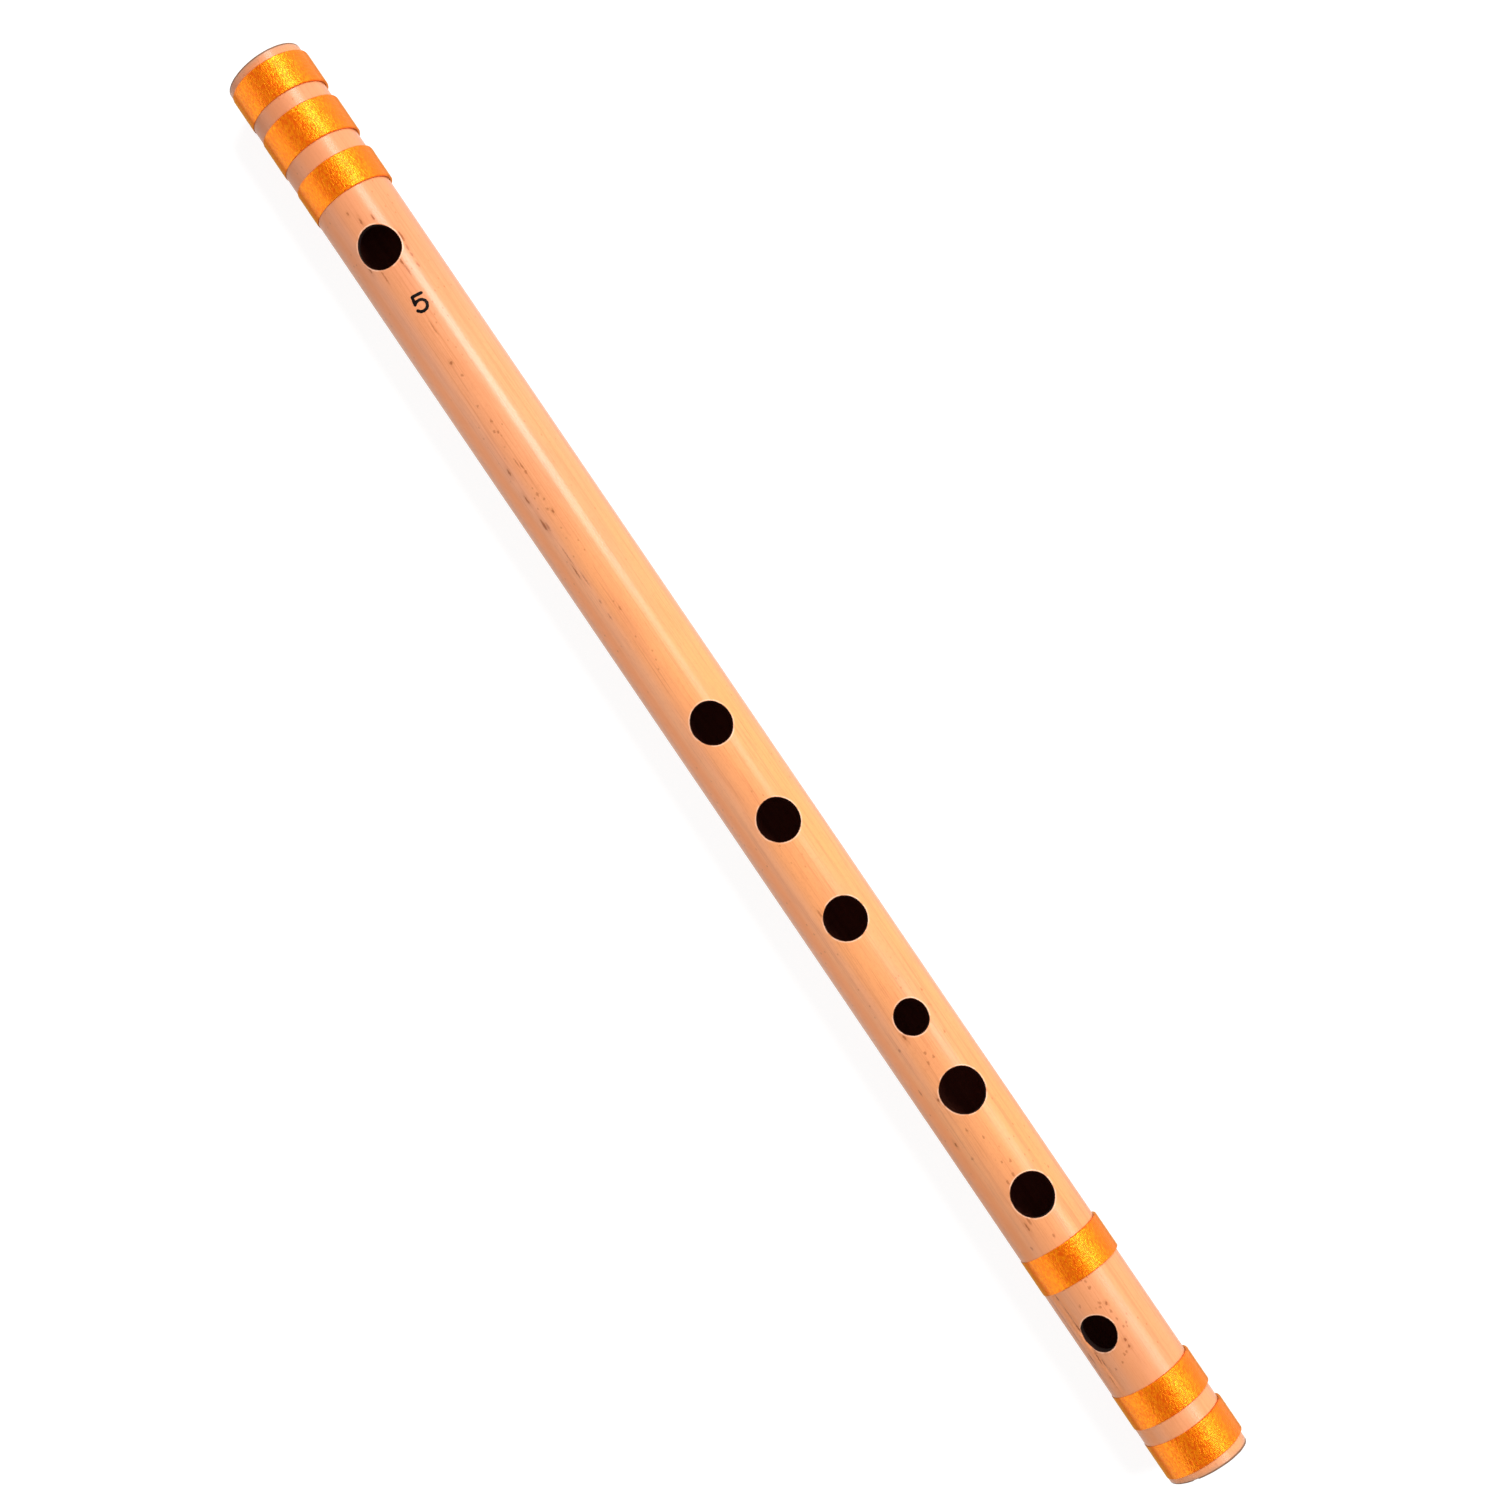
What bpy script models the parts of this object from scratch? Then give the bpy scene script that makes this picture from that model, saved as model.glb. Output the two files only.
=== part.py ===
"""Bansuri: a side-blown bamboo flute with a cork stopper and six bindings of silky thread.

The flute lies along X with its holes up, from the stopped head end at -X to the open foot end at +X.
The origin is on the surface that it lies on, under the middle of the tube. Lengths are in metres.
"""

from math import cos, pi, radians, sin, sqrt

import bmesh
import bpy
from mathutils import Vector

# Bamboo tube, which narrows a little from the head end to the foot end
TUBE_LENGTH = 0.400
HEAD_DIAMETER = 0.0204
FOOT_DIAMETER = 0.0201
WALL = 0.0021
RIM_CHAMFER = 0.0003

# Holes, with the finger holes and the vent hole placed from the blow hole, as a maker marks them out.
# Their places are shares of the tube's length, because a shorter flute has its holes nearer together.
# Each row holds a name, the place from the blow hole, the length along the grain, the width across
# it, and the degrees that the hole leans from straight up towards +Y.
BLOW_HOLE_PLACE = 0.138
HOLES = (
    ("blow_hole", 0.0, 0.0106, 0.0100, -5.3),
    ("finger_hole_1", 0.34475, 0.0103, 0.0095, 4.1),
    ("finger_hole_2", 0.4135, 0.0104, 0.0098, 5.8),
    ("finger_hole_3", 0.48275, 0.0103, 0.0099, 5.8),
    ("finger_hole_4", 0.55125, 0.0084, 0.0078, 4.3),
    ("finger_hole_5", 0.6025, 0.0109, 0.0104, 6.8),
    ("finger_hole_6", 0.67425, 0.0104, 0.0098, 5.3),
    ("vent_hole", 0.761, 0.0087, 0.0080, -25.3),
)

# Edges of a burnt hole: cut back under the wall at the bore, rounded over at the outside.
# A profile gives growth and rise as shares of the edge's size, from the bore outwards.
BORE_UNDERCUT = 0.0004
UNDERCUT_PROFILE = ((1.2, -0.2), (0.0, 1.0))
LIP_ROUNDING = 0.0005
LIP_PROFILE = ((0.0, -1.0), (0.2, -0.4), (1.0, 0.2))
CUTTER_OVERRUN = 0.002

# Cork stopper, about one bore away from the blow hole, and pushed to and fro to tune the octaves
STOPPER_LENGTH = 0.016
STOPPER_FROM_BLOW_HOLE = 0.0165
STOPPER_CHAMFER = 0.0006
STOPPER_GAP = 0.0003

# Thread bindings, which stand a little proud of the tube, so the flute lies on them.
# Each row holds a name, the bare bamboo before the binding, and its width, from the end inwards.
HEAD_BINDINGS = (
    ("head_binding_outer", 0.0024, 0.0090),
    ("head_binding_middle", 0.0043, 0.0097),
    ("head_binding_inner", 0.0053, 0.0089),
)
FOOT_BINDINGS = (
    ("foot_binding_outer", 0.0028, 0.0088),
    ("foot_binding_inner", 0.0045, 0.0088),
)
VENT_BINDING_WIDTH = 0.0092
BINDING_BUILD = 0.0005
BINDING_GAP = 0.0002
BINDING_SHOULDER = 0.0002
SHOULDER_PROFILE = ((0.0, 1.0), (0.3, 0.3), (1.0, 0.0))

# Fineness of the round pieces
ROUND_SIDES = 48
HOLE_SIDES = 32
TUBE_SPANS = 10
SHARP_ANGLE = radians(35.0)

# Places that follow from the sizes above
HEAD_END = -TUBE_LENGTH / 2
FOOT_END = TUBE_LENGTH / 2
BLOW_HOLE_X = HEAD_END + TUBE_LENGTH * BLOW_HOLE_PLACE

# Materials: a name, a colour as linear red, green and blue, and a roughness
BAMBOO = ("bamboo", (0.85, 0.42, 0.17), 0.42)
CORK = ("cork", (0.42, 0.23, 0.11), 0.85)
THREAD = ("thread", (0.93, 0.22, 0.01), 0.38)


def clear_scene():
    for old in list(bpy.data.objects):
        bpy.data.objects.remove(old, do_unlink=True)


def make_material(name, colour, roughness):
    material = bpy.data.materials.new(name)
    material.use_nodes = True
    shader = material.node_tree.nodes["Principled BSDF"]
    shader.inputs["Base Color"].default_value = (*colour, 1.0)
    shader.inputs["Roughness"].default_value = roughness
    shader.inputs["Metallic"].default_value = 0.0
    return material


def outer_radius(x):
    share = (x - HEAD_END) / TUBE_LENGTH
    return (HEAD_DIAMETER + (FOOT_DIAMETER - HEAD_DIAMETER) * share) / 2


def bore_radius(x):
    return outer_radius(x) - WALL


def binding_radius(x):
    return outer_radius(x) + BINDING_BUILD


def hole_place(from_blow_hole):
    return BLOW_HOLE_X + TUBE_LENGTH * from_blow_hole


def place_bindings():
    """The name, middle and width of each binding: those at both ends, then the one above the vent hole."""
    places = []
    for end_x, inwards, rows in ((HEAD_END, 1, HEAD_BINDINGS), (FOOT_END, -1, FOOT_BINDINGS)):
        edge = end_x
        for name, bare, width in rows:
            middle = edge + inwards * (bare + width / 2)
            places.append((name, middle, width))
            edge = middle + inwards * width / 2
    last_finger_hole, vent_hole = (hole_place(row[1]) for row in HOLES[-2:])
    places.append(("vent_binding", (last_finger_hole + vent_hole) / 2, VENT_BINDING_WIDTH))
    return places


def axis_height():
    """Height of the tube's axis over the ground, which is the largest radius of a binding."""
    return max(binding_radius(middle) for _, middle, _ in place_bindings())


def add_object(name, bm, parent=None, location=(0.0, 0.0, 0.0)):
    """Turns a finished bmesh into an object that is shaded smooth up to its sharp edges."""
    bmesh.ops.recalc_face_normals(bm, faces=bm.faces)
    mesh = bpy.data.meshes.new(name)
    bm.to_mesh(mesh)
    bm.free()
    mesh.shade_smooth()
    mesh.set_sharp_from_angle(angle=SHARP_ANGLE)
    piece = bpy.data.objects.new(name, mesh)
    bpy.context.scene.collection.objects.link(piece)
    piece.parent = parent
    piece.location = location
    return piece


def turn(outline, hollow):
    """Spins an outline of (x, radius) points once around X, as on a lathe.

    A hollow piece has a closed outline. A solid one has an open outline, whose ends are filled.
    The radius is that of the flats, so pieces that seat on each other keep an even gap, and one
    flat lies at the bottom.
    """
    bm = bmesh.new()
    half_side = pi / ROUND_SIDES
    corner = Vector((0.0, -sin(half_side), cos(half_side))) / cos(half_side)
    points = [bm.verts.new(Vector((x, 0.0, 0.0)) + corner * radius) for x, radius in outline]
    edges = [bm.edges.new(pair) for pair in zip(points, points[1:])]
    if hollow:
        edges.append(bm.edges.new((points[-1], points[0])))
    bmesh.ops.spin(
        bm, geom=points + edges, cent=(0.0, 0.0, 0.0), axis=(1.0, 0.0, 0.0),
        angle=2 * pi, steps=ROUND_SIDES, use_merge=True,
    )
    if not hollow:
        bmesh.ops.holes_fill(bm, edges=[edge for edge in bm.edges if edge.is_boundary])
    return bm


def tube_outline():
    """Section of the tube's wall, with its rims chamfered inside and outside."""
    span = (TUBE_LENGTH - 2 * RIM_CHAMFER) / TUBE_SPANS
    stations = [HEAD_END + RIM_CHAMFER + span * step for step in range(TUBE_SPANS + 1)]
    outside = [(x, outer_radius(x)) for x in stations]
    bore = [(x, bore_radius(x)) for x in reversed(stations)]
    head_rim = [
        (HEAD_END, bore_radius(HEAD_END) + RIM_CHAMFER),
        (HEAD_END, outer_radius(HEAD_END) - RIM_CHAMFER),
    ]
    foot_rim = [
        (FOOT_END, outer_radius(FOOT_END) - RIM_CHAMFER),
        (FOOT_END, bore_radius(FOOT_END) + RIM_CHAMFER),
    ]
    return head_rim + outside + foot_rim + bore


def cutter_ring(hole_x, length, width, growth, radius_at, rise):
    """One oval ring of a hole's cutter, at an even height over a round surface of the tube."""
    ring = []
    for step in range(HOLE_SIDES):
        angle = 2 * pi * step / HOLE_SIDES
        x = (length / 2 + growth) * cos(angle)
        y = (width / 2 + growth) * sin(angle)
        ring.append((x, y, sqrt(radius_at(hole_x + x) ** 2 - y ** 2) + rise))
    return ring


def flatten(ring, height):
    return [(x, y, height) for x, y, _ in ring]


def skin_rings(rings):
    """Joins rings of as many points each, from the lowest to the highest, and caps both ends."""
    bm = bmesh.new()
    loops = [[bm.verts.new(point) for point in ring] for ring in rings]
    for lower, upper in zip(loops, loops[1:]):
        for near in range(HOLE_SIDES):
            far = (near + 1) % HOLE_SIDES
            bm.faces.new((lower[near], lower[far], upper[far], upper[near]))
    bm.faces.new(reversed(loops[0]))
    bm.faces.new(loops[-1])
    return bm


def burn_hole(tube, name, from_blow_hole, length, width, lean):
    """Cuts one hole through the top wall, square to the bore's axis, with both of its edges eased."""
    hole_x = hole_place(from_blow_hole)
    rings = []
    for growth, rise in UNDERCUT_PROFILE:
        sizes = (growth * BORE_UNDERCUT, bore_radius, rise * BORE_UNDERCUT)
        rings.append(cutter_ring(hole_x, length, width, *sizes))
    for growth, rise in LIP_PROFILE:
        sizes = (growth * LIP_ROUNDING, outer_radius, rise * LIP_ROUNDING)
        rings.append(cutter_ring(hole_x, length, width, *sizes))
    in_the_bore = flatten(rings[0], 0.0)
    above_the_tube = flatten(rings[-1], outer_radius(hole_x) + CUTTER_OVERRUN)
    bm = skin_rings([in_the_bore, *rings, above_the_tube])
    cutter = add_object(name + "_cutter", bm, tube, (hole_x, 0.0, 0.0))
    cutter.rotation_euler.x = -radians(lean)
    cutter.display_type = "WIRE"
    cutter.hide_render = True
    cut = tube.modifiers.new(name, "BOOLEAN")
    cut.operation = "DIFFERENCE"
    cut.solver = "EXACT"
    cut.object = cutter


def build_tube():
    tube = add_object("bamboo_tube", turn(tube_outline(), hollow=True), None, (0.0, 0.0, axis_height()))
    tube.data.materials.append(make_material(*BAMBOO))
    for row in HOLES:
        burn_hole(tube, *row)
    return tube


def build_stopper(tube):
    """A cork plug that follows the bore, with its origin on the axis that it slides along."""
    middle = BLOW_HOLE_X - STOPPER_FROM_BLOW_HOLE - STOPPER_LENGTH / 2
    outline = []
    for end in (-1, 1):
        face_x = end * STOPPER_LENGTH / 2
        radius = bore_radius(middle + face_x) - STOPPER_GAP
        rim = [(face_x, radius - STOPPER_CHAMFER), (face_x - end * STOPPER_CHAMFER, radius)]
        outline += rim if end < 0 else rim[::-1]
    stopper = add_object("cork_stopper", turn(outline, hollow=False), tube, (middle, 0.0, 0.0))
    stopper.data.materials.append(make_material(*CORK))


def build_binding(tube, name, middle, width, material):
    """A band of thread turns: snug on the tube, level on top and round at its shoulders."""
    half = width / 2
    top = binding_radius(middle)
    seat = [(x, outer_radius(middle + x) + BINDING_GAP) for x in (half, -half)]
    left = [
        (along * BINDING_SHOULDER - half, top - down * BINDING_SHOULDER)
        for along, down in SHOULDER_PROFILE
    ]
    right = [(-x, radius) for x, radius in reversed(left)]
    binding = add_object(name, turn(seat + left + right, hollow=True), tube, (middle, 0.0, 0.0))
    binding.data.materials.append(material)


def build_flute():
    clear_scene()
    tube = build_tube()
    build_stopper(tube)
    thread = make_material(*THREAD)
    for name, middle, width in place_bindings():
        build_binding(tube, name, middle, width, thread)


build_flute()
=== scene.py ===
from math import asin, atan2, ceil, cos, exp, floor, hypot, pi, radians, sin

import bpy
from mathutils import Matrix, Vector, noise


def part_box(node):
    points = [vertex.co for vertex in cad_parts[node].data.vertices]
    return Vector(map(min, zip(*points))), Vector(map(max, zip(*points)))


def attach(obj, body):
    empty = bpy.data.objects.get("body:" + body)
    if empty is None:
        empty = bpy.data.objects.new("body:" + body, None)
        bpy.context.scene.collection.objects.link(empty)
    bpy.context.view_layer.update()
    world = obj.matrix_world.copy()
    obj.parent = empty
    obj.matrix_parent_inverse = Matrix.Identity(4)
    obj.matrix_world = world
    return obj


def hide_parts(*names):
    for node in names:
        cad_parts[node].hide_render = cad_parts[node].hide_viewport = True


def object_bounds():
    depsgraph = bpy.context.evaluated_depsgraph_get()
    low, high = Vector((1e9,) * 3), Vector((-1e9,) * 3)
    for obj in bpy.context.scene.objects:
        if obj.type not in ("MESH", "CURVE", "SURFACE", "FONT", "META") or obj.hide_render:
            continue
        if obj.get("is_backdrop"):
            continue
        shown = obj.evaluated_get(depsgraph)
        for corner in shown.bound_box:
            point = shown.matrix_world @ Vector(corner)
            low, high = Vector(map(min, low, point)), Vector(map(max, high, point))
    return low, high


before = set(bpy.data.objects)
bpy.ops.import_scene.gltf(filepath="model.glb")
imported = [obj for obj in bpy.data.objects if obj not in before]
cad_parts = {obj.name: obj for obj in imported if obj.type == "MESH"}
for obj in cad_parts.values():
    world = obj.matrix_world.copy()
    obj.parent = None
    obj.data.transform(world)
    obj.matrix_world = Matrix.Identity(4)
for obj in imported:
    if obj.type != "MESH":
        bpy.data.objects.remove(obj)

CAD_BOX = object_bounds()
COLLECTION = bpy.context.scene.collection

# Lengths are in millimetres from the middle of the tube's axis until a mesh is made,
# and in metres from the floor's origin for the floor and the lamps
MM = 0.001
TUBE_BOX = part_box("bamboo_tube")
HALF_LENGTH = TUBE_BOX[1].x / MM
AXIS_HEIGHT = (TUBE_BOX[0].z + TUBE_BOX[1].z) / 2 / MM
HEAD_RADIUS = 10.2
FOOT_RADIUS = 10.05
WALL = 2.1

# The cane's own waviness: how often it swells along and around the tube, and how far,
# outside and in the bore. A skin normal is measured over the last step.
WAVE_ALONG = 0.02
WAVE_AROUND = 0.9
WAVE_RATE = 1.5
WAVE_HEIGHT = 0.03
BORE_WAVE_ALONG = 0.1
BORE_WAVE_HEIGHT = 0.04
NORMAL_STEP = 0.05

# Holes: middle along the tube, half length, half width, and degrees that the hole leans towards +Y
HOLES = (
    (-144.8, 5.40, 5.12, -6.1),
    (-6.7, 5.26, 4.87, 4.6),
    (20.8, 5.32, 5.02, 6.3),
    (48.5, 5.26, 5.07, 6.3),
    (75.9, 4.30, 4.00, 4.7),
    (96.4, 5.56, 5.32, 7.2),
    (125.1, 5.32, 5.02, 5.8),
    (159.85, 4.46, 4.12, -27.4),
)
LIP = 0.3
LIP_STEPS = 5
UNDERCUT = 0.4

# A hole's outline wanders: how far, how often around it, and the noise's step from hole to hole
HOLE_WANDERS = ((0.06, 0.9, 7.3), (0.05, 2.6, 3.1))

# Loops of points around a hole: how far beyond its edge on the skin, how deep down its wall,
# and at the bore how far beyond the edge, how high above the bore and which value of hole_edge
QUARTERS = (0.25, 0.5, 0.75)
SKIN_LOOPS = (1.7, 1.0, 0.65, 0.45)
WALL_LOOPS = (0.6, 1.0, 1.4)
BORE_LOOPS = ((0.3 * UNDERCUT, 0.2, -2.0), (UNDERCUT, 0.0, -3.0), (UNDERCUT + 0.5, 0.0, -4.0))

# The attribute hole_edge tells how far a point lies from the nearest hole's edge: above 0
# on the skin, below 0 down the hole. These values stand for points away from every edge.
EDGE_FAR = 10.0
EDGE_ON_RIM = 8.0
EDGE_NEAR_HOLE = 2.5
EDGE_IN_BORE = -5.0

# Mesh of the tube: columns around it, spans along it, and the rounding of its ends
COLUMNS = 192
SPANS = 320
END_ROUNDING = 0.3
END_STEPS = 4
PATCH_MARGIN_ALONG = 2.5
PATCH_MARGIN_ACROSS = 3.0

# Natural groove of the cane, beside the vent hole: start, end, angle at its start,
# turn per mm, depth, width, and the power with which it fades out at both ends
GROOVE = (146.0, 174.0, -54.4, 0.30, 0.26, 0.50)
GROOVE_FADE = 0.6

# Low ridge along the groove: height as a share of the groove's depth, distance from it, width
RIDGE = (0.35, 1.3, 0.9)

# A chip in the foot rim: angle, half width and depth, and how fast it fades out towards the bore
NICK = (-29.0, 0.6, 0.4)
NICK_FADE = 1.8

# Unevenness of the saw cuts: how deep, how often around the rim, and the noise's value for a side.
# The rim counts as sawn wood over this share of the wall, and as bore beyond it.
SAW_DEPTH = 0.05
SAW_RATE = 3
SAW_SEED = 5.0
RIM_SHARE = 0.88

# Both ends are sawn a little askew: how far an end moves along the tube, and how much more
# per mm towards +Y. The slant fades out within its reach of the end.
HEAD_SLANT = (0.07, -0.037)
FOOT_SLANT = (-0.09, 0.075)
SLANT_REACH = 2.2

# Windings: the node that each one dresses, how far its two edges lie from the node's,
# how far it is built up more towards +Y than towards -Y, and how much thicker it is all round
WINDINGS = (
    ("head_binding_outer", 0.0, 0.0, 0.28, 0.0),
    ("head_binding_middle", 0.0, 0.0, 0.28, 0.0),
    ("head_binding_inner", 0.0, 0.0, 0.28, 0.0),
    ("vent_binding", 0.40, 0.40, 0.32, -0.08),
    ("foot_binding_inner", 0.36, 0.38, 0.34, -0.10),
    ("foot_binding_outer", 0.36, 0.50, 0.34, -0.10),
)

# A winding stands at least so far off the cane, and its mesh has so many columns around.
# Its crests lie so far below the node's top, and its seat so far off the cane.
# Its edges drop so far, over such a width.
LEAST_BUILD = 0.15
WINDING_COLUMNS = 216
WINDING_SINK = 0.02
SEAT_GAP = 0.04
SHOULDER_DROP = 0.22
SHOULDER_WIDTH = 0.25

# Turns of thread: their pitch, how far they stand out, and rows of points for each
THREAD_PITCH = 0.36
THREAD_CREST = 0.05
ROWS_PER_TURN = 6

# Unevenness of a winding's edges, of the way its turns lie and of the thickness of each turn:
# how far, how often around it, and how fast it changes from turn to turn
EDGE_WAVE = (0.05, 2)
TURN_WANDER = (0.35, 6, 0.22)
TURN_SWELL = (0.045, 9, 1.7)
SEED_STEP = 11.7

# Cork: clearance in the bore, mesh, and rings of points on its two faces as shares of its radius
CORK_CLEARANCE = 0.12
CORK_CHAMFER = 0.6
CORK_COLUMNS = 96
CORK_SPANS = 26
CORK_RINGS = (0.12, 0.3, 0.5, 0.7, 0.86)

# Pits of the cork: how often, above which level of the noise and how deep, then its finer grain,
# and the share of all that which is cut into the mesh
CORK_PITS = (0.9, 0.28, 0.9)
CORK_GRAIN = (2.3, 0.06)
CORK_RELIEF = 0.5

# Camera and its lens, fitted to the outline, bindings and holes in the photograph.
# The place is measured from the tube's middle.
CAMERA_PLACE = (36.66, 0.24, 559.04)
CAMERA_TURNS = (-0.461, -3.447, -55.787)
CAMERA_LENS = 56.57
SENSOR_WIDTH = 36.0

# Natural marks in the bamboo's skin: middle along the tube, arc from its top,
# half length, half width
DARK_MARKS = (
    (-152.3, -1.18, 1.0, 0.22), (-151.5, 1.75, 0.8, 0.24), (-155.5, -2.75, 0.45, 0.22),
    (-144.3, 4.95, 1.5, 0.40), (-138.8, 1.48, 1.1, 0.22), (-141.9, -6.21, 1.0, 0.26),
    (-112.0, -2.31, 0.45, 0.36), (-82.8, -5.82, 1.0, 0.28), (-75.0, -6.02, 1.1, 0.26),
    (-67.8, -6.01, 1.7, 0.36), (-54.3, -5.91, 2.0, 0.18), (78.9, -3.24, 0.8, 0.32),
    (95.2, -5.05, 0.7, 0.26), (106.2, -8.22, 0.7, 0.26), (130.6, -4.49, 1.1, 0.24),
    (154.8, 0.88, 0.36, 0.34), (164.0, -0.19, 0.42, 0.30), (165.8, -0.27, 0.36, 0.30),
    (-69.1, -2.13, 0.5, 0.28),
)
SOFT_MARKS = (
    (-141.1, 4.62, 0.9, 0.34), (-139.1, 4.52, 0.8, 0.30), (-136.3, 4.42, 0.9, 0.30),
    (-136.3, 1.60, 1.5, 0.22), (-138.2, -3.95, 2.2, 0.20), (-121.3, -1.06, 2.0, 0.18),
    (-108.1, -1.76, 0.42, 0.34), (-99.9, -2.88, 0.42, 0.34), (-95.0, -2.19, 0.48, 0.34),
    (-92.6, -3.00, 0.36, 0.32), (-92.0, -2.27, 0.36, 0.32), (-83.4, -2.79, 1.4, 0.20),
    (-82.1, -2.16, 1.0, 0.22), (-80.4, -2.19, 0.42, 0.34), (-74.6, -2.90, 0.42, 0.38),
    (-72.6, -2.18, 0.40, 0.30), (-70.3, -2.81, 0.42, 0.34), (-66.9, -5.32, 1.1, 0.30),
    (-58.4, -5.40, 3.2, 0.16), (-51.5, -4.98, 2.2, 0.18), (-45.2, -5.01, 0.7, 0.22),
    (-41.0, -5.11, 0.8, 0.22), (-41.2, -1.86, 0.7, 0.26), (44.3, -3.40, 1.2, 0.24),
    (72.1, 6.97, 0.45, 0.30), (80.9, -6.29, 0.45, 0.30), (82.9, 5.58, 0.42, 0.28),
    (84.5, -1.28, 0.38, 0.32), (86.2, -0.12, 0.38, 0.30), (86.8, -1.94, 0.38, 0.30),
    (91.8, -8.37, 0.9, 0.24), (104.5, -3.44, 0.6, 0.26), (108.0, -1.04, 0.45, 0.26),
    (110.8, -6.45, 0.45, 0.32), (114.9, -0.72, 0.42, 0.24), (115.8, 1.06, 0.40, 0.32),
    (118.8, -0.17, 0.6, 0.34), (119.6, -2.24, 0.6, 0.28), (122.3, 8.59, 0.36, 0.26),
    (129.5, -3.28, 1.2, 0.34), (135.5, -0.35, 0.5, 0.30), (135.4, -6.78, 0.5, 0.30),
    (148.1, -0.26, 0.42, 0.30), (149.8, -0.34, 0.42, 0.30), (153.9, -0.37, 0.36, 0.30),
    (154.8, -0.75, 0.34, 0.28), (152.2, -4.76, 0.36, 0.30), (156.9, 0.77, 0.42, 0.28),
    (159.1, 0.91, 0.40, 0.30), (160.9, 2.23, 0.36, 0.26), (161.3, 1.19, 0.34, 0.28),
    (166.5, -1.50, 0.36, 0.26), (166.7, -2.29, 0.36, 0.26), (168.1, -3.74, 0.42, 0.26),
    (168.8, -6.16, 0.36, 0.28),
)
# Painted shadow along the groove beside the vent and below it, listed as dark marks with the same
# columns
GROOVE_SHADOW_MARKS = (
    (152.6, -8.95, 1.9, 0.10), (157.0, -9.02, 2.0, 0.15), (161.9, -8.62, 1.0, 0.22),
    (164.9, -9.00, 1.8, 0.14), (166.4, -8.35, 1.0, 0.10), (164.6, -11.50, 1.6, 0.22),
    (148.5, -9.10, 1.0, 0.16), (155.0, -11.95, 7.0, 0.10), (167.0, -12.70, 6.0, 0.12),
    (171.0, -9.20, 1.6, 0.10), (164.18, -6.10, 0.42, 0.24),
)

# The number inked below the blow hole: its middle, its turn in degrees, and its strokes
# as places across the tube and along it, from its middle
DIGIT_AT = (-128.0, -0.35)
DIGIT_TURN = -7.0
DIGIT_STROKES = (
    ((1.25, 2.1), (-1.15, 2.1), (-1.35, 0.15)),
    ((-1.35, 0.15), (-0.75, 0.62), (0.0, 0.76), (0.75, 0.58), (1.28, 0.05), (1.42, -0.68),
     (1.2, -1.38), (0.68, -1.9), (-0.05, -2.1), (-0.8, -1.96), (-1.42, -1.4)),
)
STROKE_WIDTH = 0.80

# Mesh of the ink: its grid, how far the grid reaches, how proud it stands, and a step for slopes.
# FAR_OFF is where the search for the nearest stroke or mark starts.
INK_CELL = 0.12
INK_REACH = 3.0
INK_HEIGHT = 0.02
INK_SLOPE_STEP = 0.01
FAR_OFF = 9.0

# Radius at which the materials measure arcs around the tube
ARC_RADIUS = 10.1


def outer_radius(x):
    share = (x + HALF_LENGTH) / (2 * HALF_LENGTH)
    return HEAD_RADIUS + (FOOT_RADIUS - HEAD_RADIUS) * share


def ring_noise(angle, rate, third):
    """Noise that runs around a ring without a seam, and changes with a third value."""
    return noise.noise(Vector((cos(angle) * rate, sin(angle) * rate, third)))


def relief(x, angle):
    """How far the skin lies from a true cone: the cane's own waviness and its groove."""
    unit = Vector((x * WAVE_ALONG, cos(angle) * WAVE_AROUND, sin(angle) * WAVE_AROUND))
    height = WAVE_HEIGHT * noise.noise(unit * WAVE_RATE)
    start, end, first_angle, turn, depth, width = GROOVE
    if start < x < end:
        across = (angle - radians(first_angle + turn * (x - start))) * outer_radius(x)
        ends = sin(pi * (x - start) / (end - start)) ** GROOVE_FADE
        height -= depth * ends * exp(-((across / width) ** 2))
        share, distance, ridge_width = RIDGE
        height += share * depth * ends * exp(-(((across + distance) / ridge_width) ** 2))
    return height


def skin_normal(x, angle):
    """The skin's true normal, which keeps its gloss even where the mesh is coarse."""
    step = NORMAL_STEP
    radius = outer_radius(x) + relief(x, angle)
    rise_along = (outer_radius(x + step) + relief(x + step, angle) - radius) / step
    rise_around = (relief(x, angle + step / radius) - relief(x, angle)) / step
    outwards = Vector((-rise_along, sin(angle), cos(angle)))
    sideways = Vector((0.0, cos(angle), -sin(angle)))
    return (outwards - sideways * rise_around).normalized()


def slant(point):
    """Moves a point near one of the ends along the tube, because the ends are sawn askew."""
    x, y, z = point
    shift, per_mm = FOOT_SLANT if x > 0 else HEAD_SLANT
    share = max(0.0, 1 - (HALF_LENGTH - abs(x)) / SLANT_REACH)
    return (x + share * (shift + per_mm * y), y, z)


def make_object(name, points, faces, material):
    """Makes a mesh from points in millimetres, measured from the tube's axis."""
    mesh = bpy.data.meshes.new(name)
    corners = [(x * MM, y * MM, (z + AXIS_HEIGHT) * MM) for x, y, z in points]
    mesh.from_pydata(corners, [], faces)
    mesh.validate()
    mesh.update()
    mesh.shade_smooth()
    mesh.materials.append(material)
    piece = bpy.data.objects.new(name, mesh)
    COLLECTION.objects.link(piece)
    return piece


def on_ring(x, radius, angle):
    return (x, radius * sin(angle), radius * cos(angle))


def join_loops(loops):
    """Faces between loops of as many points each, that follow each other along the tube."""
    faces = []
    for near, far in zip(loops, loops[1:]):
        for m in range(len(near)):
            k = (m + 1) % len(near)
            faces.append((near[m], far[m], far[k], near[k]))
    return faces


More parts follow.
